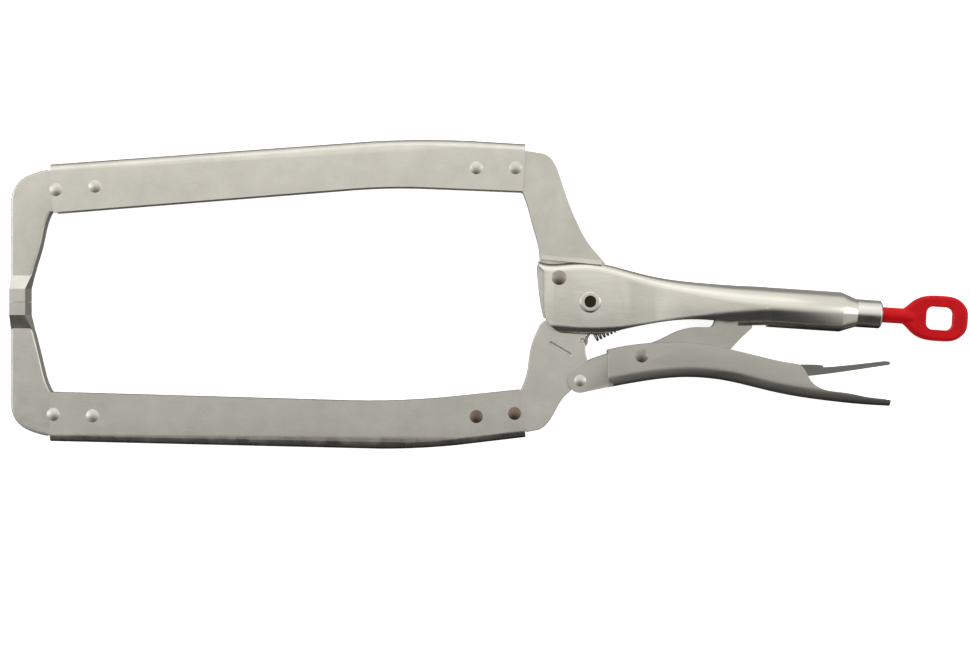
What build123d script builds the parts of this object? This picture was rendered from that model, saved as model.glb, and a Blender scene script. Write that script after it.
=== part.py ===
"""Locking C clamp, deep throat, 457 mm overall, lying flat on its side.

Frame: +X runs along the clamp from the jaw tips to the turning loop, +Y across it from the lower
arm to the upper arm, +Z up through its thickness.  The origin is under the middle of the bounding
box, so every profile is drawn on a plane centred on the jaw pivot and at half thickness.
Millimetres throughout.
"""
from build123d import *
import math
import os

# ---- place of the jaw pivot in the object's frame ----
tube_diameter = 19.0
pivot_x = 47.0
pivot_y = -3.64
mid_z = tube_diameter / 2
mid = Plane(origin=(pivot_x, pivot_y, mid_z))

# ---- thicknesses across the clamp ----
sheet = 2.3
tongue_thickness = 7.8
arm_width = 12.6
handle_front_width = 13.2
handle_gap = handle_front_width - 2 * sheet
arm_gap = arm_width - 2 * sheet
forged_edge = 1.1
pad_thickness = 14.0

# ---- jaws and arms ----
jaw_end_x = -275.8
pad_gap = 2.06
pad_depth = 7.6
pad_height = 5.2
bevel_height = 8.6
arm_left_x = -256.8
arm_right_x = -30.6
arm_corner = 3.6
arm_depth = 30.0
tip_rivets_upper = ((-253.8, 53.3), (-235.2, 54.9))
root_rivets_upper = ((-54.1, 63.7), (-35.4, 63.7))
tip_rivets_lower = ((-255.0, -53.5), (-236.4, -54.1))
root_rivets_lower = ((-54.1, -54.5), (-35.9, -53.0))
arm_rivet_radius = 2.4
arm_rivet_head = 3.1
rivet_head_height = 0.75
pin_head_height = 0.8

# ---- jaw pivot ----
hub_radius = 11.0
hub_clearance = 0.6
pivot_radius = 3.6
running_fit = 0.05
pivot_head_radius = 5.2
pivot_head_height = 1.5
pivot_dimple_radius = 2.8
pivot_dimple_depth = 2.6
jaw_rivet_at = (-14.8, 11.5)
groove_at = (-14.1, -22.6)
groove_angle = -31
groove_length = 12.0
groove_width = 1.6
groove_depth = 0.9
jaw_rivet_radius = 2.6
jaw_rivet_head = 3.5
rivet_stand_off = 0.1

# ---- toggle linkage, measured from the jaw pivot with the clamp closed ----
handle_pin_at = (-4.8, -37.4)
link_pin_at = (24.4, -25.6)
link_nose_at = (72.9, -6.5)
handle_pin_radius = 2.4
handle_pin_head = 2.8
link_pin_radius = 2.4
link_pin_head = 3.2
lobe_radius = 5.8
link_thickness = 7.2
link_boss_thickness = 9.6
link_boss_radius = 4.6
link_nose_radius = 4.6

# ---- screw line: through the tube, sloping slightly down towards the loop ----
screw_slope = -3.8
screw_start = (86.0, -2.5)
screw_direction = Vector(math.cos(math.radians(screw_slope)), math.sin(math.radians(screw_slope)), 0)
screw_radius = 4.0
tube_wall = 2.1
loft_step = 0.05
neck_radius = 6.7
nut_spigot_radius = 5.4
link_slot = 8.4
link_slot_end = 84.6
spigot_radius = 2.5
spigot_length = 7.0
tube_length = 33.8
neck_length = 7.4
nut_length = 12.2
thread_clearance = 0.1
thread_showing = 0.4
tip_start = -2.0
stem_gap = 0.7
stem_radius = 3.7
stem_length = 11.0
loop_length = 29.8
loop_width = 21.8
loop_thickness = 5.4
loop_edge = 2.0
loop_rim = 6.9
loop_hole = (13.4, 11.0)

# ---- lower handle and release lever ----
lower_handle_width = 15.0
lower_handle_gap = lower_handle_width - 2 * sheet
grip_front = 8.6
grip_end = 142.7
grip_corner = 5.4
lever_pin_at = (83.5, -33.2)
lever_pin_radius = 2.0
lever_pin_half_length = 6.8
lever_width = 9.4
lever_sheet = 1.8
lever_end = 142.7

# ---- return spring and its two pins ----
spring_hook_at = (-3.6, -18.6)
spring_anchor_at = (34.0, -0.5)
spring_radius = 2.8
spring_wire = 0.6
spring_turns = 16
spring_pitch = 1.85
hook_radius = 2.3
hook_slot = 2.0
hook_pin_radius = 1.0
anchor_radius = 1.5
anchor_half_length = 6.2

export_folder = "parts"
os.makedirs(export_folder, exist_ok=True)


def finish(piece, name):
    """Label one finished piece and write it as its own STEP file."""
    piece.part.label = name
    export_step(piece.part, f"{export_folder}/{name}.step")


def side_plane(height):
    """Plane of the clamp's side view, at this height from the middle plane."""
    return mid.offset(height)


def screw_plane(distance):
    """Plane square to the screw line, this far behind the start of the tube."""
    start = Vector(pivot_x + screw_start[0], pivot_y + screw_start[1], mid_z)
    return Plane(origin=start + screw_direction * distance, x_dir=(0, 0, -1), z_dir=screw_direction)


def cross_plane(x):
    """Plane square to X at this distance from the jaw pivot, its own Y along the clamp's Y."""
    return Plane(origin=(pivot_x + x, pivot_y, mid_z), x_dir=(0, 0, -1), z_dir=(1, 0, 0))


def forged_edges(piece):
    """Long edges of the two flat sides of a forging."""
    return piece.faces().filter_by(Axis.Z).edges()


def rivet_pair(places, half_length, head_radius, shank_radius, head_height):
    """Riveted shanks through the part with a domed head standing on each side."""
    top = half_length + head_height
    dome_radius = (head_radius ** 2 + head_height ** 2) / (2 * head_height)
    lean = math.asin(head_radius / dome_radius) / 2
    shoulder = (dome_radius * math.sin(lean), top - dome_radius * (1 - math.cos(lean)))
    with BuildPart() as rivets:
        for x, y in places:
            centre = (pivot_x + x, pivot_y + y, mid_z)
            with BuildSketch(Plane(origin=centre, x_dir=(1, 0, 0), z_dir=(0, -1, 0))):
                with BuildLine():
                    ThreePointArc((0, top), shoulder, (head_radius, half_length))
                    Polyline((head_radius, half_length), (shank_radius, half_length), (shank_radius, 0),
                             (0, 0), (0, top))
                make_face()
            revolve(axis=Axis(centre, (0, 0, 1)))
        mirror(about=mid)
    return rivets


def arm(web_points, web_radius, rim_points, rim_radius, rivets):
    """Pressed channel arm, its U section swept along the bent web and trimmed to the flange edge."""
    far = rim_points[0][1] + 3 * (web_points[0][1] - rim_points[0][1])
    with BuildPart() as channel:
        with BuildLine(mid) as web_line:
            FilletPolyline(*web_points, radius=web_radius)
        with BuildSketch(Plane(origin=web_line.line @ 0, x_dir=(0, 0, 1), z_dir=web_line.line % 0)):
            with BuildLine():
                FilletPolyline((-arm_width / 2, arm_depth), (-arm_width / 2, 0),
                               (arm_width / 2, 0), (arm_width / 2, arm_depth), radius=arm_corner)
                Line((arm_width / 2, arm_depth), (arm_gap / 2, arm_depth))
                FilletPolyline((arm_gap / 2, arm_depth), (arm_gap / 2, sheet),
                               (-arm_gap / 2, sheet), (-arm_gap / 2, arm_depth), radius=arm_corner - sheet)
                Line((-arm_gap / 2, arm_depth), (-arm_width / 2, arm_depth))
            make_face()
        sweep(path=web_line.wire())
        with BuildSketch(mid):
            with BuildLine():
                rim = FilletPolyline(*rim_points, radius=rim_radius)
                Polyline(rim @ 1, (rim_points[-1][0], far), (rim_points[0][0], far), rim @ 0)
            make_face()
        extrude(amount=arm_width, both=True, mode=Mode.INTERSECT)
        with BuildSketch(mid):
            with Locations(*rivets):
                Circle(arm_rivet_radius)
        extrude(amount=arm_width, both=True, mode=Mode.SUBTRACT)
    return channel


# ---- upper arm, fixed: web on top ----
upper_web = ((arm_left_x, 65.6), (-80.3, 78.4), (arm_right_x, 75.2))
upper_rim = ((arm_left_x, 42.3), (-96.1, 55.1), (arm_right_x, 52.5))
upper_arm = arm(upper_web, 480, upper_rim, 300, tip_rivets_upper + root_rivets_upper)
finish(upper_arm, "upper_arm")

# ---- lower arm, moving: web underneath ----
lower_web = ((arm_right_x, -64.4), (-81.5, -70.5), (arm_left_x, -66.3))
lower_rim = ((arm_right_x, -41.6), (-90.3, -47.8), (arm_left_x, -43.0))
lower_arm = arm(lower_web, 350, lower_rim, 400, tip_rivets_lower + root_rivets_lower)
finish(lower_arm, "lower_arm")

# ---- jaw tips: forged L shapes, the tongue held in the arm, flared out to a thicker pad ----
def jaw_tip(outline, side, rivets):
    """Forged jaw tip; side is +1 for the upper tip and -1 for the lower one."""
    corner_start, corner_end, tongue, heel, leg_inner, pad_inner = outline
    face_y = side * pad_gap / 2
    pad_top = face_y + side * pad_height
    leg_end = pad_top + side * bevel_height
    with BuildPart() as tip:
        with BuildSketch(mid):
            with BuildLine():
                Line((jaw_end_x, pad_top), corner_start)
                Spline(corner_start, corner_end, tangents=((0, side), (1, side * 0.2)))
                Polyline(corner_end, *tongue, heel)
                Spline(heel, leg_inner, (pad_inner, leg_end), tangents=((-0.7, -side), (-0.25, -side)))
                Polyline((pad_inner, leg_end), (jaw_end_x + pad_depth, pad_top), (jaw_end_x, pad_top))
            make_face()
        extrude(amount=tongue_thickness / 2, both=True)
        fillet(forged_edges(tip).filter_by(lambda edge: edge.center().X < pivot_x + arm_left_x - 1),
               radius=forged_edge)
        with BuildSketch(Plane(origin=(pivot_x, pivot_y + leg_end, mid_z), x_dir=(1, 0, 0),
                               z_dir=(0, -side, 0))):
            with Locations(((jaw_end_x + pad_inner) / 2, 0)):
                Rectangle(pad_inner - jaw_end_x - 0.2, tongue_thickness - 2 * forged_edge)
        with BuildSketch(Plane(origin=(pivot_x, pivot_y + pad_top, mid_z), x_dir=(1, 0, 0),
                               z_dir=(0, -side, 0))):
            with Locations((jaw_end_x + pad_depth / 2, 0)):
                Rectangle(pad_depth, pad_thickness)
        loft()
        with BuildSketch(Plane(origin=(pivot_x, pivot_y + pad_top, mid_z), x_dir=(1, 0, 0),
                               z_dir=(0, -side, 0))):
            with Locations((jaw_end_x + pad_depth / 2, 0)):
                Rectangle(pad_depth, pad_thickness)
        extrude(amount=pad_height)
        with BuildSketch(mid):
            with Locations(*rivets):
                Circle(arm_rivet_radius)
        extrude(amount=tongue_thickness, both=True, mode=Mode.SUBTRACT)
    return tip


upper_tip = jaw_tip(
    ((jaw_end_x, 47.0), (-258.6, 63.0), ((-256.0, 61.8), (-228.0, 63.8), (-228.0, 46.0)),
     (-256.6, 43.2), (-261.6, 26.5), -265.0), 1, tip_rivets_upper)
finish(upper_tip, "upper_jaw_tip")

lower_tip = jaw_tip(
    ((jaw_end_x, -48.0), (-258.6, -63.8), ((-256.0, -62.5), (-228.0, -63.2), (-228.0, -46.0)),
     (-256.6, -43.0), (-261.6, -28.5), -265.0), -1, tip_rivets_lower)
finish(lower_tip, "lower_jaw_tip")

# ---- jaw roots ----
with BuildPart() as upper_root:
    with BuildSketch(mid):
        with BuildLine():
            Polyline((-31.9, 52.0), (-36.5, 54.4), (-62.0, 55.4), (-62.0, 73.5), (-31.0, 71.5),
                     (-30.5, 72.0), (-24.0, 71.0))
            Spline((-24.0, 71.0), (-15.3, 62.6), (-10.6, 48.8), (-2.6, 30.9), (7.6, 18.0),
                   tangents=((1, -0.1), (1, -1.2)))
            Polyline((7.6, 18.0), (7.0, 12.0), (0, 0), (-12.5, -5.0), (-21.7, -7.8))
            Spline((-21.7, -7.8), (-24.1, 4.5), (-25.1, 17.0), tangents=((-0.35, 1), (-0.02, 1)))
            Line((-25.1, 17.0), (-23.8, 20.0))
            Spline((-23.8, 20.0), (-27.0, 36.0), (-31.9, 52.0), tangents=((0, 1), (-0.45, 1)))
        make_face()
        Circle(hub_radius + hub_clearance, mode=Mode.SUBTRACT)
        with Locations(jaw_rivet_at):
            Circle(jaw_rivet_radius, mode=Mode.SUBTRACT)
        with Locations(*root_rivets_upper):
            Circle(arm_rivet_radius, mode=Mode.SUBTRACT)
    extrude(amount=tongue_thickness / 2, both=True)
finish(upper_root, "fixed_jaw_root")

with BuildPart() as lower_root:
    with BuildSketch(mid):
        with BuildLine():
            Polyline((-32.9, -42.2), (-37.5, -45.6), (-62.0, -47.4), (-62.0, -64.5), (-31.0, -60.8),
                     (-30.5, -62.0), (-26.0, -61.2))
            Spline((-26.0, -61.2), (-20.4, -58.0), (-14.6, -48.4), (-10.4, -43.4),
                   tangents=((1, 0.15), (1, 0.7)))
            Polyline((-10.4, -43.4), handle_pin_at, (1.0, -37.0))
            Spline((1.0, -37.0), (-1.2, -28.0), (-1.2, -14.0), tangents=((0, 1), (0.4, 1)))
            Polyline((-1.2, -14.0), (0, 0), (-10.0, -5.5), (-21.5, -9.0), (-23.4, -10.6))
            Spline((-23.4, -10.6), (-28.2, -22.6), (-29.8, -33.5), (-32.9, -42.2),
                   tangents=((-0.5, -1), (-0.5, -1)))
        make_face()
        Circle(hub_radius)
        with Locations(handle_pin_at):
            Circle(lobe_radius)
        Circle(pivot_radius + running_fit, mode=Mode.SUBTRACT)
        with Locations(handle_pin_at):
            Circle(handle_pin_radius + running_fit, mode=Mode.SUBTRACT)
        with Locations(*root_rivets_lower):
            Circle(arm_rivet_radius, mode=Mode.SUBTRACT)
        with Locations(spring_hook_at):
            Circle(hook_pin_radius, mode=Mode.SUBTRACT)
    extrude(amount=tongue_thickness / 2, both=True)
    with BuildSketch(mid):
        with Locations((spring_hook_at[0] + 3, spring_hook_at[1] + 0.5)):
            Rectangle(13.0, 7.6)
    extrude(amount=hook_slot / 2, both=True, mode=Mode.SUBTRACT)
    for side in (1, -1):
        with BuildSketch(side_plane(side * tongue_thickness / 2)):
            with Locations(Location(groove_at, groove_angle)):
                SlotOverall(groove_length, groove_width)
        extrude(amount=-side * groove_depth, mode=Mode.SUBTRACT)
finish(lower_root, "moving_jaw_root")

# ---- upper handle: channel at the front, rolled into a tube that carries the screw ----
handle_sections = (
    (-26.0, -15.8, 20.9, 13.2, 4.2), (-4.0, -15.8, 19.2, 13.2, 4.2), (8.8, -15.8, 17.6, 13.2, 4.2),
    (24.0, -14.5, 13.6, 13.8, 4.6), (40.0, -13.0, 10.5, 15.2, 5.6), (58.0, -12.1, 8.7, 17.2, 7.2),
    (72.0, -12.0, 7.8, 18.5, 8.6),
)


def handle_loft(inset):
    """Handle body through its cross sections, each made smaller by the inset all round."""
    with BuildPart() as body:
        for x, low, high, width, corner in handle_sections:
            with BuildSketch(cross_plane(x)):
                with Locations((0, (low + high) / 2)):
                    RectangleRounded(width - 2 * inset, high - low - 2 * inset, corner - inset)
        with BuildSketch(screw_plane(0)):
            end_size = tube_diameter - 2 * (inset + loft_step)
            RectangleRounded(end_size, end_size, end_size / 2 - loft_step)
        loft()
    return body


handle_body = handle_loft(0)
handle_cavity = handle_loft(sheet)

with BuildPart() as upper_handle:
    add(handle_body.part)
    with BuildSketch(mid):
        with BuildLine():
            Polyline((-24.4, 30.0), (-24.4, 17.4), (-21.8, 14.6), (-21.8, -4.0))
            ThreePointArc((-21.8, -4.0), (-18.0, -12.0), (-10.0, -15.5))
            Polyline((-10.0, -15.5), (5.0, -15.5), (12.0, -14.0))
            Spline((12.0, -14.0), (31.0, -10.0), (42.0, -8.6), (58.0, -8.6), (70.5, -10.0),
                   tangents=((1, 0.25), (1, -0.15)))
            Polyline((70.5, -10.0), (70.5, -30.0), (140.0, -30.0), (140.0, 30.0), (-24.4, 30.0))
        make_face()
    extrude(amount=tube_diameter, both=True, mode=Mode.INTERSECT)
    with BuildSketch(screw_plane(0)):
        Circle(tube_diameter / 2)
    extrude(amount=tube_length)
    with BuildSketch(screw_plane(tube_length)):
        Circle(tube_diameter / 2)
    with BuildSketch(screw_plane(tube_length + neck_length)):
        Circle(neck_radius)
    loft()
    add(handle_cavity.part, mode=Mode.SUBTRACT)
    with BuildSketch(screw_plane(-1.0)):
        Circle(tube_diameter / 2 - tube_wall)
    extrude(amount=tube_length, mode=Mode.SUBTRACT)
    with BuildSketch(screw_plane(tube_length - 2)):
        Circle(nut_spigot_radius)
    extrude(amount=neck_length + 4, mode=Mode.SUBTRACT)
    with BuildSketch(Plane(origin=(pivot_x, pivot_y - 30, mid_z), x_dir=(1, 0, 0), z_dir=(0, 1, 0))):
        with BuildLine():
            edge = Polyline((-30, handle_gap / 2), (9, handle_gap / 2), (24, 4.6), (40, 5.3), (58, 6.3),
                            (70.5, 7.1), (70.5, link_slot / 2), (link_slot_end, link_slot / 2),
                            (link_slot_end, 0))
            mirror(edge, about=Plane.XZ)
            Line((-30, handle_gap / 2), (-30, -handle_gap / 2))
        make_face()
    extrude(amount=26, mode=Mode.SUBTRACT)
    with BuildSketch(Plane(origin=(pivot_x, pivot_y + 12, mid_z), x_dir=(1, 0, 0), z_dir=(0, 1, 0))):
        with Locations((-10, 0)):
            Rectangle(35.4, tongue_thickness + 2 * running_fit)
    extrude(amount=12, mode=Mode.SUBTRACT)
    with BuildSketch(mid):
        Circle(pivot_radius)
        with Locations(jaw_rivet_at):
            Circle(jaw_rivet_radius)
    extrude(amount=tube_diameter, both=True, mode=Mode.SUBTRACT)
    with BuildSketch(mid):
        with Locations(spring_anchor_at):
            Circle(anchor_radius)
    extrude(amount=anchor_half_length, both=True, mode=Mode.SUBTRACT)
finish(upper_handle, "upper_handle")

# ---- threaded end of the tube ----
with BuildPart() as screw_nut:
    with BuildSketch(screw_plane(tube_length - 1)):
        Circle(nut_spigot_radius)
    extrude(amount=neck_length + 1)
    with BuildSketch(screw_plane(tube_length + neck_length)):
        Circle(neck_radius)
    extrude(amount=nut_length)
    chamfer(screw_nut.edges().filter_by(GeomType.CIRCLE).sort_by(Axis.X)[-1], length=0.8)
    with BuildSketch(screw_plane(tube_length - 2)):
        Circle(screw_radius + thread_clearance)
    extrude(amount=neck_length + nut_length + 4, mode=Mode.SUBTRACT)
finish(screw_nut, "threaded_sleeve")

# ---- rivets of the fixed frame and the jaw pivot ----
with BuildPart() as jaw_pivot:
    with BuildSketch(mid):
        Circle(pivot_radius)
    extrude(amount=handle_front_width / 2, both=True)
    for side in (1, -1):
        with BuildSketch(side_plane(side * handle_front_width / 2)):
            Circle(pivot_head_radius)
        extrude(amount=side * pivot_head_height)
    heads = jaw_pivot.faces().filter_by(Axis.Z).group_by(Axis.Z)
    fillet((heads[0] + heads[-1]).edges(), radius=pivot_head_height * 0.7)
    for side in (1, -1):
        face_height = side * (handle_front_width / 2 + pivot_head_height)
        with BuildSketch(side_plane(face_height)):
            Circle(pivot_dimple_radius)
        extrude(amount=-side * pivot_dimple_depth, mode=Mode.SUBTRACT)
finish(jaw_pivot, "jaw_pivot_rivet")

finish(rivet_pair((jaw_rivet_at,), handle_front_width / 2 + rivet_stand_off, jaw_rivet_head,
                  jaw_rivet_radius, rivet_head_height), "fixed_jaw_rivet")
arm_rivet_size = (arm_width / 2, arm_rivet_head, arm_rivet_radius, rivet_head_height)
finish(rivet_pair(tip_rivets_upper, *arm_rivet_size), "upper_tip_rivets")
finish(rivet_pair(root_rivets_upper, *arm_rivet_size), "upper_root_rivets")
finish(rivet_pair(tip_rivets_lower, *arm_rivet_size), "lower_tip_rivets")
finish(rivet_pair(root_rivets_lower, *arm_rivet_size), "lower_root_rivets")

# ---- weld run along each side of the fixed jaw's foot ----
weld_leg = 1.8
weld_sink = 0.4
weld_ends = ((-23.0, 20.6), (5.4, 18.0))
with BuildPart() as jaw_weld:
    for side in (1, -1):
        root_side = side * (tongue_thickness / 2 + running_fit)
        for x, handle_top in weld_ends:
            foot = handle_top - weld_sink
            with BuildSketch(cross_plane(x)):
                with BuildLine():
                    Polyline((root_side, foot), (root_side + side * weld_leg, foot),
                             (root_side, handle_top + weld_leg), (root_side, foot))
                make_face()
        loft()
    add(upper_handle.part, mode=Mode.SUBTRACT)
finish(jaw_weld, "jaw_weld")


# ---- adjusting screw: plain rod here, its end held in the loop's stem ----
rod_end = tube_length + neck_length + nut_length
with BuildPart() as adjusting_screw:
    with BuildSketch(screw_plane(tip_start)):
        Circle(screw_radius)
    extrude(amount=rod_end + thread_showing - tip_start)
    chamfer(adjusting_screw.edges().filter_by(GeomType.CIRCLE).sort_by(Axis.X)[0], length=1.2)
    with BuildSketch(screw_plane(rod_end)):
        Circle(spigot_radius)
    extrude(amount=spigot_length)
finish(adjusting_screw, "adjusting_screw")

# ---- turning loop: round stem flattened into a rounded loop ----
loop_start = rod_end + stem_gap
with BuildPart() as turning_loop:
    loop_plane = Plane(origin=screw_plane(loop_start).origin, x_dir=screw_direction, z_dir=(0, 0, 1))
    loop_end = stem_length + loop_length
    with BuildSketch(loop_plane):
        with BuildLine():
            half = Spline((stem_length - 2, stem_radius - 0.4), (13.4, 6.8), (18.6, loop_width / 2 - 1.0),
                          (27.5, loop_width / 2), (35.6, loop_width / 2 - 1.2), (loop_end - 1.1, 6.0),
                          (loop_end, 0), tangents=((1, 0.4), (0, -1)))
            mirror(half, about=Plane.XZ)
            Line(half @ 0, (stem_length - 2, 0.4 - stem_radius))
        make_face()
    extrude(amount=loop_thickness / 2, both=True)
    fillet(turning_loop.faces().filter_by(Axis.Z).edges(), radius=loop_edge)
    with BuildSketch(loop_plane):
        with Locations((stem_length + loop_length - loop_rim - loop_hole[0] / 2, 0)):
            RectangleRounded(loop_hole[0], loop_hole[1], 3.2)
    extrude(amount=loop_thickness, both=True, mode=Mode.SUBTRACT)
    with BuildSketch(screw_plane(loop_start)):
        Circle(stem_radius)
    extrude(amount=stem_length)
    with BuildSketch(screw_plane(loop_start + stem_length)):
        Circle(stem_radius)
    with BuildSketch(screw_plane(loop_start + stem_length + 6)):
        Ellipse(loop_thickness / 2 - 0.2, stem_radius + 1.4)
    loft()
    with BuildSketch(screw_plane(loop_start - 1)):
        Circle(spigot_radius + running_fit)
    extrude(amount=spigot_length + 1.5, mode=Mode.SUBTRACT)
finish(turning_loop, "turning_loop")

# ---- lower handle: wide channel, web underneath, stepped in to two cheeks at the jaw ----
def grip_body(half_width, inset, beyond, corner):
    """Solid between the handle's underside, raised by the inset, and its upper edge."""
    with BuildPart() as body:
        with BuildSketch(mid):
            with BuildLine():
                under = Spline((grip_front - beyond, -40.8 + inset), (24.0, -38.0 + inset),
                               (43.0, -35.9 + inset), (63.0, -37.2 + inset), (90.0, -43.4 + inset),
                               (116.0, -47.4 + inset), (grip_end + beyond, -49.6 + inset),
                               tangents=((1, 0.2), (1, -0.05)))
                drop = Spline((98.0, -29.3 + beyond), (105.0, -37.8 + beyond), (123.6, -43.6 + beyond),
                              (grip_end + beyond, -46.6 + beyond), tangents=((1, -0.3), (1, -0.08)))
                top = Spline(drop @ 0, (82.0, -26.2 + beyond), (64.0, -22.0 + beyond),
                             (43.0, -19.4 + beyond), (20.3, -20.6 + beyond),
                             (grip_front - beyond, -22.9 + beyond), tangents=((-1, 0.1), (-1, -0.25)))
                Line(under @ 1, drop @ 1)
                Line(top @ 1, under @ 0)
            make_face()
        extrude(amount=half_width, both=True)
        fillet(body.faces().filter_by(Axis.Z).edges().sort_by(SortBy.LENGTH)[-2:], radius=corner)
    return body


grip_cavity = grip_body(lower_handle_gap / 2, sheet, 4.0, grip_corner - sheet)
with BuildPart() as lower_handle:
    add(grip_body(lower_handle_width / 2, 0, 0, grip_corner).part)
    add(grip_cavity.part, mode=Mode.SUBTRACT)
    for side in (1, -1):
        with BuildSketch(side_plane(side * handle_gap / 2)):
            with BuildLine():
                Polyline((grip_front + sheet, -23.0), (grip_front + sheet, -40.2), (grip_front, -40.4),
                         (-3.8, -43.1), (-4.8, -37.4), (-7.0, -32.1), (0.5, -27.4), (grip_front, -24.6),
                         (grip_front + sheet, -23.0))
            make_face()
            with Locations(handle_pin_at):
                Circle(lobe_radius)
        extrude(amount=side * sheet)
        with BuildSketch(side_plane(side * handle_gap / 2)):
            with Locations((grip_front + sheet / 2, -31.0)):
                Rectangle(sheet, 14.7)
        extrude(amount=side * (lower_handle_gap - handle_gap + sheet) / 2)
    with BuildSketch(mid):
        with Locations(handle_pin_at):
            Circle(handle_pin_radius)
        with Locations(link_pin_at):
            Circle(link_pin_radius)
    extrude(amount=lower_handle_width, both=True, mode=Mode.SUBTRACT)
    with BuildSketch(mid):
        with Locations(lever_pin_at):
            Circle(lever_pin_radius)
    extrude(amount=lever_pin_half_length, both=True, mode=Mode.SUBTRACT)
finish(lower_handle, "lower_handle")

# ---- toggle link: boss on its rivet, hump, and a round nose facing the screw ----
with BuildPart() as toggle_link:
    with BuildSketch(mid):
        with BuildLine():
            Spline((23.5, -20.9), (34.0, -17.8), (43.0, -13.6), (49.0, -12.2), (57.0, -12.0),
                   tangents=((1, 0.15), (1, 0)))
            Spline((57.0, -12.0), (60.0, -8.6), (66.0, -3.4), (72.9, link_nose_at[1] + link_nose_radius),
                   tangents=((1, 0), (1, 0)))
            ThreePointArc((72.9, link_nose_at[1] + link_nose_radius), (76.15, -3.25),
                          (link_nose_at[0] + link_nose_radius, link_nose_at[1]))
            Polyline((link_nose_at[0] + link_nose_radius, link_nose_at[1]), (77.2, -12.4), (72.0, -17.2),
                     (66.7, -22.9), (64.0, -25.4), (52.0, -27.2), (30.0, -30.2), (24.4, -30.2),
                     (23.5, -20.9))
        make_face()
        with Locations(link_pin_at):
            Circle(link_boss_radius)
    extrude(amount=link_thickness / 2, both=True)
    with BuildSketch(mid):
        with Locations(link_pin_at):
            Circle(link_boss_radius)
    extrude(amount=link_boss_thickness / 2, both=True)
    with BuildSketch(mid):
        with Locations(link_pin_at):
            Circle(link_pin_radius + running_fit)
    extrude(amount=link_boss_thickness, both=True, mode=Mode.SUBTRACT)
finish(toggle_link, "toggle_link")

# ---- release lever: channel open underneath, its tail flared out of the lower handle ----
with BuildPart() as release_lever:
    with BuildSketch(mid):
        with BuildLine():
            Spline((59.6, -31.4), (63.0, -29.7), (83.5, -29.9), (110.0, -30.1), (lever_end, -28.2),
                   tangents=((0.6, 1), (1, 0.12)))
            Line((lever_end, -28.2), (lever_end, -30.0))
            Spline((lever_end, -30.0), (122.0, -33.0), (100.0, -35.6), (83.5, -36.2), (60.4, -32.9),
                   tangents=((-1, -0.12), (-1, 0.2)))
            Line((60.4, -32.9), (59.6, -31.4))
        make_face()
    extrude(amount=lever_width / 2, both=True)
    fillet(release_lever.edges().filter_by(Axis.Z).sort_by(Axis.X)[-2:], radius=0.7)
    with BuildSketch(mid):
        with BuildLine():
            Spline((62.5, -31.3), (83.5, -31.6), (110.0, -31.9), (139.5, -30.4),
                   tangents=((1, 0), (1, 0.12)))
            Polyline((139.5, -30.4), (139.5, -40.0), (62.5, -40.0), (62.5, -31.3))
        make_face()
    extrude(amount=lever_width / 2 - lever_sheet, both=True, mode=Mode.SUBTRACT)
    with BuildSketch(mid):
        with Locations(lever_pin_at):
            Circle(lever_pin_radius + running_fit)
    extrude(amount=lever_width, both=True, mode=Mode.SUBTRACT)
finish(release_lever, "release_lever")

# ---- pins of the linkage ----
finish(rivet_pair((handle_pin_at,), handle_front_width / 2, handle_pin_head, handle_pin_radius,
                  pin_head_height), "lower_handle_rivet")
finish(rivet_pair((link_pin_at,), lower_handle_width / 2, link_pin_head, link_pin_radius,
                  pin_head_height), "toggle_link_rivet")


def plain_pin(place, radius, half_length):
    """Straight pin across the clamp with lightly chamfered ends."""
    with BuildPart() as pin:
        with BuildSketch(mid):
            with Locations(place):
                Circle(radius)
        extrude(amount=half_length, both=True)
        chamfer(pin.edges().filter_by(GeomType.CIRCLE), length=0.3)
    return pin


finish(plain_pin(lever_pin_at, lever_pin_radius, lever_pin_half_length), "lever_pin")
finish(plain_pin(spring_hook_at, hook_pin_radius, tongue_thickness / 2), "spring_hook_pin")
finish(plain_pin(spring_anchor_at, anchor_radius, anchor_half_length), "spring_anchor_pin")

# ---- return spring: tension coil between the two pins, a round eye at each end ----
spring_start = Vector(pivot_x + spring_hook_at[0], pivot_y + spring_hook_at[1], mid_z)
spring_end = Vector(pivot_x + spring_anchor_at[0], pivot_y + spring_anchor_at[1], mid_z)
spring_line = (spring_end - spring_start).normalized()
coil_length = spring_turns * spring_pitch
coil_start = ((spring_end - spring_start).length - coil_length) / 2
with BuildPart() as return_spring:
    with BuildLine():
        coil = Helix(pitch=spring_pitch, height=coil_length, radius=spring_radius,
                     center=spring_start + spring_line * coil_start, direction=spring_line)
    with BuildSketch(Plane(origin=coil @ 0, z_dir=coil % 0)):
        Circle(spring_wire)
    sweep(path=coil, is_frenet=True)
    for centre, coil_end, direction in ((spring_start, coil @ 0, 1), (spring_end, coil @ 1, -1)):
        with Locations(centre):
            Torus(hook_radius, spring_wire)
        eye_edge = centre + spring_line * (direction * hook_radius)
        bridge = coil_end - eye_edge
        with BuildSketch(Plane(origin=eye_edge, z_dir=bridge)):
            Circle(spring_wire)
        extrude(amount=bridge.length)
finish(return_spring, "return_spring")
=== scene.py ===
"""Looks of the locking C clamp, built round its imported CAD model.  Metres, in the CAD's own frame."""
import math

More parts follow.
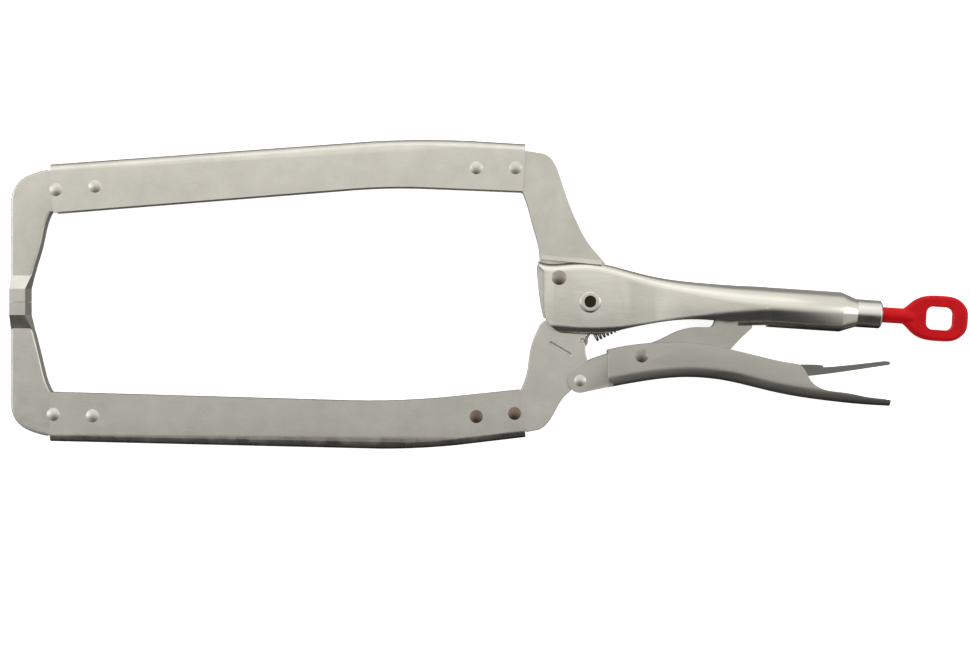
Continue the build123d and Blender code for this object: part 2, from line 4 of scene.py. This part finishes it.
import bpy
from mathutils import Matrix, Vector


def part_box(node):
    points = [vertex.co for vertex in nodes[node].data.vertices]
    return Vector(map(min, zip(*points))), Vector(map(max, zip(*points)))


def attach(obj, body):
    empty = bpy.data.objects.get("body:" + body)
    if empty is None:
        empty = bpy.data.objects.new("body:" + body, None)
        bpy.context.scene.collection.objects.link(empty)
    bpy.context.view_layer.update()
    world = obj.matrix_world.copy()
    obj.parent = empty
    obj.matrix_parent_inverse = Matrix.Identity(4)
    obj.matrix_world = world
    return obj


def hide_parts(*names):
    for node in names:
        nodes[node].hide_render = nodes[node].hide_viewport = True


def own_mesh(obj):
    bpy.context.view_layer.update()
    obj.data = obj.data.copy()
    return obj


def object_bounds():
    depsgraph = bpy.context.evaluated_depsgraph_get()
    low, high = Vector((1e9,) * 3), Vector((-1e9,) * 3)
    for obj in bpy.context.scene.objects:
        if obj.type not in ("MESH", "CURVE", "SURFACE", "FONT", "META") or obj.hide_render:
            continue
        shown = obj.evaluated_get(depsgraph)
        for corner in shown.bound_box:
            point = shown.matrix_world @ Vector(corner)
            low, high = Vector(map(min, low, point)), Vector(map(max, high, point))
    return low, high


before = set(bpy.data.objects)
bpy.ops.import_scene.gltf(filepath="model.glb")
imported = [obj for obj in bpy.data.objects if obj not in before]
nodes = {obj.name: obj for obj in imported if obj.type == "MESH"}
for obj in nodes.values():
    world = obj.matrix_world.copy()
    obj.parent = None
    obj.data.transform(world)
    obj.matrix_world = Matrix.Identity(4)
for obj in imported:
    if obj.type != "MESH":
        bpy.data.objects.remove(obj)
cad_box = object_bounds()
scene = bpy.context.scene
MM = 0.001

# ---- where things are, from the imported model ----
pivot_lo, pivot_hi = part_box("jaw_pivot_rivet")
PIVOT = (pivot_lo + pivot_hi) / 2


# ---- materials: noise scales are in cells per metre, bump distances in metres ----
CLOUD_SCALE = 70.0
PATCH_SCALE = 160.0
WAVE_SCALE = 240.0
NOISE_LOW = 0.3
NOISE_HIGH = 0.7
GRAIN_HEIGHT = 0.03 * MM
WAVE_HEIGHT = 0.06 * MM
WAVE_STRENGTH = 0.35
DIP_CLOUD_SCALE = 180.0
DIP_WAVE_SCALE = 420.0
DIP_WAVE_HEIGHT = 0.1 * MM
DIP_WAVE_STRENGTH = 0.3
DIP_THIN = 0.78
# painted shade in the pivot's recess fades out between these fractions of its radius
SHADE_INNER = 0.92
SHADE_OUTER = 1.04


def node(tree, kind, **values):
    """A shader node with the given properties set."""
    made = tree.nodes.new(kind)
    for name, value in values.items():
        setattr(made, name, value)
    return made


def ramp_between(tree, low, high, low_at=0.0, high_at=1.0):
    """Colour ramp from one colour to another."""
    made = node(tree, "ShaderNodeValToRGB")
    made.color_ramp.elements[0].position = low_at
    made.color_ramp.elements[0].color = (*low, 1)
    made.color_ramp.elements[1].position = high_at
    made.color_ramp.elements[1].color = (*high, 1)
    return made


def steel(name, colour, roughness, mottle=0.06, spread=0.07, grain=0.25, grain_size=0.6 * MM,
          streak=(1, 1, 1)):
    """Satin plated steel: cloudy plating, uneven polish and a fine grain, drawn out by the streak."""
    material = bpy.data.materials.new(name)
    material.use_nodes = True
    tree = material.node_tree
    shader = tree.nodes["Principled BSDF"]
    shader.inputs["Metallic"].default_value = 1.0
    place = node(tree, "ShaderNodeTexCoord")
    stretch = node(tree, "ShaderNodeMapping")
    stretch.inputs["Scale"].default_value = streak
    tree.links.new(place.outputs["Object"], stretch.inputs["Vector"])

    cloud = node(tree, "ShaderNodeTexNoise")
    cloud.inputs["Scale"].default_value = CLOUD_SCALE
    cloud.inputs["Detail"].default_value = 6.0
    cloud.inputs["Roughness"].default_value = 0.62
    tree.links.new(stretch.outputs["Vector"], cloud.inputs["Vector"])
    dark = tuple(c * (1 - mottle) for c in colour)
    light = tuple(min(c * (1 + mottle), 1) for c in colour)
    tint = ramp_between(tree, dark, light, NOISE_LOW, NOISE_HIGH)
    tree.links.new(cloud.outputs["Fac"], tint.inputs["Fac"])
    tree.links.new(tint.outputs["Color"], shader.inputs["Base Color"])

    patch = node(tree, "ShaderNodeTexNoise")
    patch.inputs["Scale"].default_value = PATCH_SCALE
    patch.inputs["Detail"].default_value = 8.0
    tree.links.new(stretch.outputs["Vector"], patch.inputs["Vector"])
    polish = node(tree, "ShaderNodeMapRange")
    polish.inputs["From Min"].default_value = NOISE_LOW
    polish.inputs["From Max"].default_value = NOISE_HIGH
    polish.inputs["To Min"].default_value = roughness - spread
    polish.inputs["To Max"].default_value = roughness + spread
    tree.links.new(patch.outputs["Fac"], polish.inputs["Value"])
    tree.links.new(polish.outputs["Result"], shader.inputs["Roughness"])

    fine = node(tree, "ShaderNodeTexNoise")
    fine.inputs["Scale"].default_value = 1.0 / grain_size
    fine.inputs["Detail"].default_value = 3.0
    tree.links.new(stretch.outputs["Vector"], fine.inputs["Vector"])
    wave = node(tree, "ShaderNodeTexNoise")
    wave.inputs["Scale"].default_value = WAVE_SCALE
    wave.inputs["Detail"].default_value = 2.0
    tree.links.new(place.outputs["Object"], wave.inputs["Vector"])
    small = node(tree, "ShaderNodeBump")
    small.inputs["Strength"].default_value = grain
    small.inputs["Distance"].default_value = GRAIN_HEIGHT
    tree.links.new(fine.outputs["Fac"], small.inputs["Height"])
    large = node(tree, "ShaderNodeBump")
    large.inputs["Strength"].default_value = WAVE_STRENGTH
    large.inputs["Distance"].default_value = WAVE_HEIGHT
    tree.links.new(wave.outputs["Fac"], large.inputs["Height"])
    tree.links.new(small.outputs["Normal"], large.inputs["Normal"])
    tree.links.new(large.outputs["Normal"], shader.inputs["Normal"])
    return material


def paint_recess_shade(material, centre, radius, shade_colour):
    """Painted shade in a round recess: darker inside this radius of an upright axis."""
    tree = material.node_tree
    shader = tree.nodes["Principled BSDF"]
    place = node(tree, "ShaderNodeTexCoord")
    offset = node(tree, "ShaderNodeVectorMath", operation="SUBTRACT")
    offset.inputs[1].default_value = centre
    tree.links.new(place.outputs["Object"], offset.inputs[0])
    level = node(tree, "ShaderNodeVectorMath", operation="MULTIPLY")
    level.inputs[1].default_value = (1, 1, 0)
    tree.links.new(offset.outputs["Vector"], level.inputs[0])
    reach = node(tree, "ShaderNodeVectorMath", operation="LENGTH")
    tree.links.new(level.outputs["Vector"], reach.inputs[0])
    mask = node(tree, "ShaderNodeMapRange")
    mask.inputs["From Min"].default_value = radius * SHADE_INNER
    mask.inputs["From Max"].default_value = radius * SHADE_OUTER
    tree.links.new(reach.outputs["Value"], mask.inputs["Value"])
    blend = node(tree, "ShaderNodeMix", data_type="RGBA")
    blend.inputs["A"].default_value = (*shade_colour, 1)
    old = shader.inputs["Base Color"].links[0].from_socket
    tree.links.new(mask.outputs["Result"], blend.inputs["Factor"])
    tree.links.new(old, blend.inputs["B"])
    tree.links.new(blend.outputs["Result"], shader.inputs["Base Color"])


def dipped_plastic(name, colour):
    """Thick red plastic dip: satin gloss, slightly uneven, deeper in tone where it is thin."""
    material = bpy.data.materials.new(name)
    material.use_nodes = True
    tree = material.node_tree
    shader = tree.nodes["Principled BSDF"]
    shader.inputs["Roughness"].default_value = 0.46
    shader.inputs["Specular IOR Level"].default_value = 0.16
    place = node(tree, "ShaderNodeTexCoord")
    cloud = node(tree, "ShaderNodeTexNoise")
    cloud.inputs["Scale"].default_value = DIP_CLOUD_SCALE
    cloud.inputs["Detail"].default_value = 4.0
    tree.links.new(place.outputs["Object"], cloud.inputs["Vector"])
    tint = ramp_between(tree, tuple(c * DIP_THIN for c in colour), colour, 0.25, NOISE_HIGH)
    tree.links.new(cloud.outputs["Fac"], tint.inputs["Fac"])
    tree.links.new(tint.outputs["Color"], shader.inputs["Base Color"])
    wave = node(tree, "ShaderNodeTexNoise")
    wave.inputs["Scale"].default_value = DIP_WAVE_SCALE
    wave.inputs["Detail"].default_value = 3.0
    tree.links.new(place.outputs["Object"], wave.inputs["Vector"])
    bump = node(tree, "ShaderNodeBump")
    bump.inputs["Strength"].default_value = DIP_WAVE_STRENGTH
    bump.inputs["Distance"].default_value = DIP_WAVE_HEIGHT
    tree.links.new(wave.outputs["Fac"], bump.inputs["Height"])
    tree.links.new(bump.outputs["Normal"], shader.inputs["Normal"])
    return material


NICKEL = (0.66, 0.64, 0.585)
DIMPLE_RADIUS = 2.8 * MM
# colour of the painted shade in the pivot rivet's recess
RECESS_SHADE = (0.035, 0.028, 0.022)


def toned(level):
    """The plating's colour, lighter or darker by this factor."""
    return tuple(channel * level for channel in NICKEL)


hollow = steel("pivot_steel", toned(0.97), 0.3, mottle=0.05, spread=0.05, grain=0.15)
# painted shade: the pivot rivet's hollow is darkened inside its radius
paint_recess_shade(hollow, PIVOT, DIMPLE_RADIUS, RECESS_SHADE)
riveted = steel("rivet_steel", toned(0.9), 0.42, mottle=0.05, spread=0.06, grain=0.15)
oiled_rivet = steel("oiled_rivet_steel", (0.17, 0.13, 0.1), 0.46, mottle=0.25, spread=0.08, grain=0.3)
worn_rivet = steel("worn_rivet_steel", (0.3, 0.27, 0.245), 0.4, mottle=0.2, spread=0.08, grain=0.3)
screw_finish = steel("screw_steel", (0.68, 0.665, 0.63), 0.22, mottle=0.04, spread=0.05, grain=0.15)
spring_finish = steel("spring_steel", (0.45, 0.44, 0.42), 0.3, mottle=0.06, spread=0.05, grain=0.1)
forged = {"mottle": 0.08, "spread": 0.08, "grain": 0.35, "grain_size": 0.9 * MM}
drawn = {"mottle": 0.09, "spread": 0.08, "grain": 0.3, "grain_size": 0.8 * MM, "streak": (0.14, 1, 1)}
# painted light and shade: lit and shaded copies of the one nickel plating, lighter on the upper handle,
# darker on the lower arm, lower handle, lower tip and link
FINISH_AND_SHADE = {
    "upper_arm": steel("upper_arm_steel", toned(0.98), 0.3),
    "lower_arm": steel("lower_arm_steel", toned(0.87), 0.3),
    "upper_handle": steel("handle_steel", toned(1.05), 0.22, **drawn),
    "lower_handle": steel("grip_steel", toned(0.8), 0.4, **drawn),
    # painted shade: the release lever's plating is the darkest, standing for the shade it sits in
    # between the handles
    "release_lever": steel("lever_steel", toned(0.3), 0.28, **drawn),
    "toggle_link": steel("link_steel", toned(0.74), 0.34, **forged),
    "fixed_jaw_root": steel("fixed_root_steel", toned(0.95), 0.33, **forged),
    "moving_jaw_root": steel("moving_root_steel", toned(0.92), 0.33, **forged),
    "upper_jaw_tip": steel("upper_tip_steel", toned(0.92), 0.33, **forged),
    "lower_jaw_tip": steel("lower_tip_steel", toned(0.84), 0.33, **forged),
    "jaw_weld": steel("weld_steel", toned(0.9), 0.36, **forged),
    "threaded_sleeve": screw_finish, "adjusting_screw": screw_finish, "return_spring": spring_finish,
    "jaw_pivot_rivet": hollow, "fixed_jaw_rivet": worn_rivet, "lower_root_rivets": oiled_rivet,
    "toggle_link_rivet": worn_rivet, "turning_loop": dipped_plastic("red_dip", (0.62, 0.001, 0.006)),
}

# ---- edges: eased by a small bevel in millimetres, as tumbling and plating leave them ----
EASE = {
    "upper_handle": 0.45, "lower_handle": 0.45, "upper_arm": 0.4, "lower_arm": 0.4,
    "fixed_jaw_root": 0.8, "moving_jaw_root": 0.35, "upper_jaw_tip": 0.6, "lower_jaw_tip": 0.6,
    "toggle_link": 0.6, "release_lever": 0.35, "threaded_sleeve": 0.3, "jaw_pivot_rivet": 0.25,
}
USUAL_EDGE_ANGLE = 32
FLAT_ANGLE = 0.6
WELD_REACH = 0.002 * MM
EDGE_ANGLE = {"upper_jaw_tip": 17, "lower_jaw_tip": 17}
FULL_WIDTH = ("moving_jaw_root",)


def ease_edges(piece, name):
    """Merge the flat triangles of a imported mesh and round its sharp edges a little."""
    for layer in ("custom_normal", "sharp_edge", "sharp_face"):
        if layer in piece.data.attributes:
            piece.data.attributes.remove(piece.data.attributes[layer])
    weld = piece.modifiers.new("weld", "WELD")
    weld.merge_threshold = WELD_REACH
    flat = piece.modifiers.new("flat", "DECIMATE")
    flat.decimate_type = "DISSOLVE"
    flat.angle_limit = math.radians(FLAT_ANGLE)
    bevel = piece.modifiers.new("bevel", "BEVEL")
    bevel.width = EASE[name] * MM
    bevel.segments = 3
    bevel.limit_method = "ANGLE"
    bevel.angle_limit = math.radians(EDGE_ANGLE.get(name, USUAL_EDGE_ANGLE))
    bevel.use_clamp_overlap = name not in FULL_WIDTH
    bevel.harden_normals = True


def shown_copy(name, body):
    """A piece of its own made from a node's mesh, standing for that node on the same body."""
    piece = bpy.data.objects.new(f"{name}_shown", nodes[name].data.copy())
    scene.collection.objects.link(piece)
    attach(piece, body)
    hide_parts(name)
    return piece


shown = dict(nodes)

# ---- jaw pads: closed on each other but for a hair, their faces moved out from the CAD's ----
PAD_FACE = 1.03 * MM
PAD_REACH = 0.97 * MM
FACE_BAND = 0.05 * MM
for name, body, side in (("upper_jaw_tip", "fixed_frame", 1), ("lower_jaw_tip", "moving_jaw", -1)):
    tip = shown_copy(name, body)
    for vertex in tip.data.vertices:
        if abs(vertex.co.y - PIVOT.y - side * PAD_FACE) < FACE_BAND:
            vertex.co.y -= side * PAD_REACH
    shown[name] = tip

# ---- return spring: a copy with a mesh of its own, on the fixed frame ----
spring = shown_copy("return_spring", "fixed_frame")
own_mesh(spring)
shown["return_spring"] = spring

for name, piece in shown.items():
    piece.data.materials.clear()
    piece.data.materials.append(FINISH_AND_SHADE.get(name, riveted))
    if name in EASE:
        ease_edges(piece, name)

# ---- floor ----
floor_mesh = bpy.data.meshes.new("floor")
half = 6.0
FLOOR_DROP = 0.2 * MM
corners = [(-half, -half, 0), (half, -half, 0), (half, half, 0), (-half, half, 0)]
floor_mesh.from_pydata(corners, [], [(0, 1, 2, 3)])
floor = bpy.data.objects.new("floor", floor_mesh)
scene.collection.objects.link(floor)
floor.location.z = cad_box[0].z - FLOOR_DROP
paper = bpy.data.materials.new("paper")
paper.use_nodes = True
paper_shader = paper.node_tree.nodes["Principled BSDF"]
paper_shader.inputs["Base Color"].default_value = (0.93, 0.93, 0.93, 1)
paper_shader.inputs["Roughness"].default_value = 0.9
paper_shader.inputs["Specular IOR Level"].default_value = 0.1
paper_shader.inputs["Emission Color"].default_value = (1, 1, 1, 1)
paper_shader.inputs["Emission Strength"].default_value = 0.8
floor.visible_glossy = False
floor_mesh.materials.append(paper)


# ---- light ----
def softbox(name, at, size, power):
    """Rectangular area light pointing at the clamp."""
    data = bpy.data.lights.new(name, "AREA")
    data.shape = "RECTANGLE"
    data.size, data.size_y = size
    data.energy = power
    lamp = bpy.data.objects.new(name, data)
    scene.collection.objects.link(lamp)
    lamp.location = at
    lamp.rotation_euler = (-Vector(at)).to_track_quat("-Z", "Y").to_euler()


softbox("key", (-0.2, 1.5, 1.3), (2.2, 1.0), 2)
softbox("fill_left", (-1.7, 0.2, 1.2), (1.0, 1.4), 6)
softbox("fill_right", (1.7, 0.2, 1.2), (1.0, 1.4), 6)

# a black flag stands on the -Y side, and the studio darkens towards its floor
world = bpy.data.worlds.new("studio")
scene.world = world
world.use_nodes = True
sky = world.node_tree
background = sky.nodes["Background"]
direction = node(sky, "ShaderNodeTexCoord")
split = node(sky, "ShaderNodeSeparateXYZ")
sky.links.new(direction.outputs["Generated"], split.inputs["Vector"])
spread = node(sky, "ShaderNodeMapRange")
spread.inputs["From Min"].default_value = -1.0
spread.inputs["From Max"].default_value = 1.0
sky.links.new(split.outputs["Y"], spread.inputs["Value"])
FLAG_SIDE = (
    (0.0, 0.05), (0.25, 0.03), (0.33, 0.045), (0.385, 0.15), (0.43, 0.42), (0.4565, 0.54), (0.5, 0.66),
    (0.585, 0.86), (0.675, 1.0), (1.0, 0.9),
)
OPEN_SIDE = ((0.0, 0.42), (0.35, 0.46), (0.5, 0.64), (0.675, 0.86), (1.0, 0.8))


def grey_ramp(stops):
    """Slightly warm grey levels along Y."""
    made = node(sky, "ShaderNodeValToRGB")
    while len(made.color_ramp.elements) < len(stops):
        made.color_ramp.elements.new(0.5)
    for element, (position, level) in zip(made.color_ramp.elements, stops):
        element.position = position
        element.color = (level, level * 0.99, level * 0.96, 1)
    sky.links.new(spread.outputs["Result"], made.inputs["Fac"])
    return made


flag_side = grey_ramp(FLAG_SIDE)
open_side = grey_ramp(OPEN_SIDE)
aside = node(sky, "ShaderNodeMath", operation="ABSOLUTE")
sky.links.new(split.outputs["X"], aside.inputs[0])
flag_edge = node(sky, "ShaderNodeMapRange", interpolation_type="SMOOTHSTEP")
flag_edge.inputs["From Min"].default_value = 0.3
flag_edge.inputs["From Max"].default_value = 0.5
sky.links.new(aside.outputs["Value"], flag_edge.inputs["Value"])
tone = node(sky, "ShaderNodeMix", data_type="RGBA")
sky.links.new(flag_edge.outputs["Result"], tone.inputs["Factor"])
sky.links.new(flag_side.outputs["Color"], tone.inputs["A"])
sky.links.new(open_side.outputs["Color"], tone.inputs["B"])
horizon = node(sky, "ShaderNodeMapRange", interpolation_type="SMOOTHSTEP")
horizon.inputs["From Min"].default_value = -0.4
horizon.inputs["From Max"].default_value = 0.1
horizon.inputs["To Min"].default_value = 0.38
horizon.inputs["To Max"].default_value = 1.2
sky.links.new(split.outputs["Z"], horizon.inputs["Value"])
sky.links.new(tone.outputs["Result"], background.inputs["Color"])
sky.links.new(horizon.outputs["Result"], background.inputs["Strength"])

# ---- camera: straight above, as the clamp is seen flat on its side ----
camera_data = bpy.data.cameras.new("camera")
camera = bpy.data.objects.new("camera", camera_data)
scene.collection.objects.link(camera)
scene.camera = camera
view_width = 0.4637
distance = 0.95
camera_data.sensor_width = 36.0
camera_data.lens = camera_data.sensor_width * distance / view_width
camera.location = (PIVOT.x - 0.04995, PIVOT.y - 0.01004, PIVOT.z + distance)
camera_data.clip_start = 0.05
camera_data.clip_end = 20.0
scene.view_settings.view_transform = "Standard"
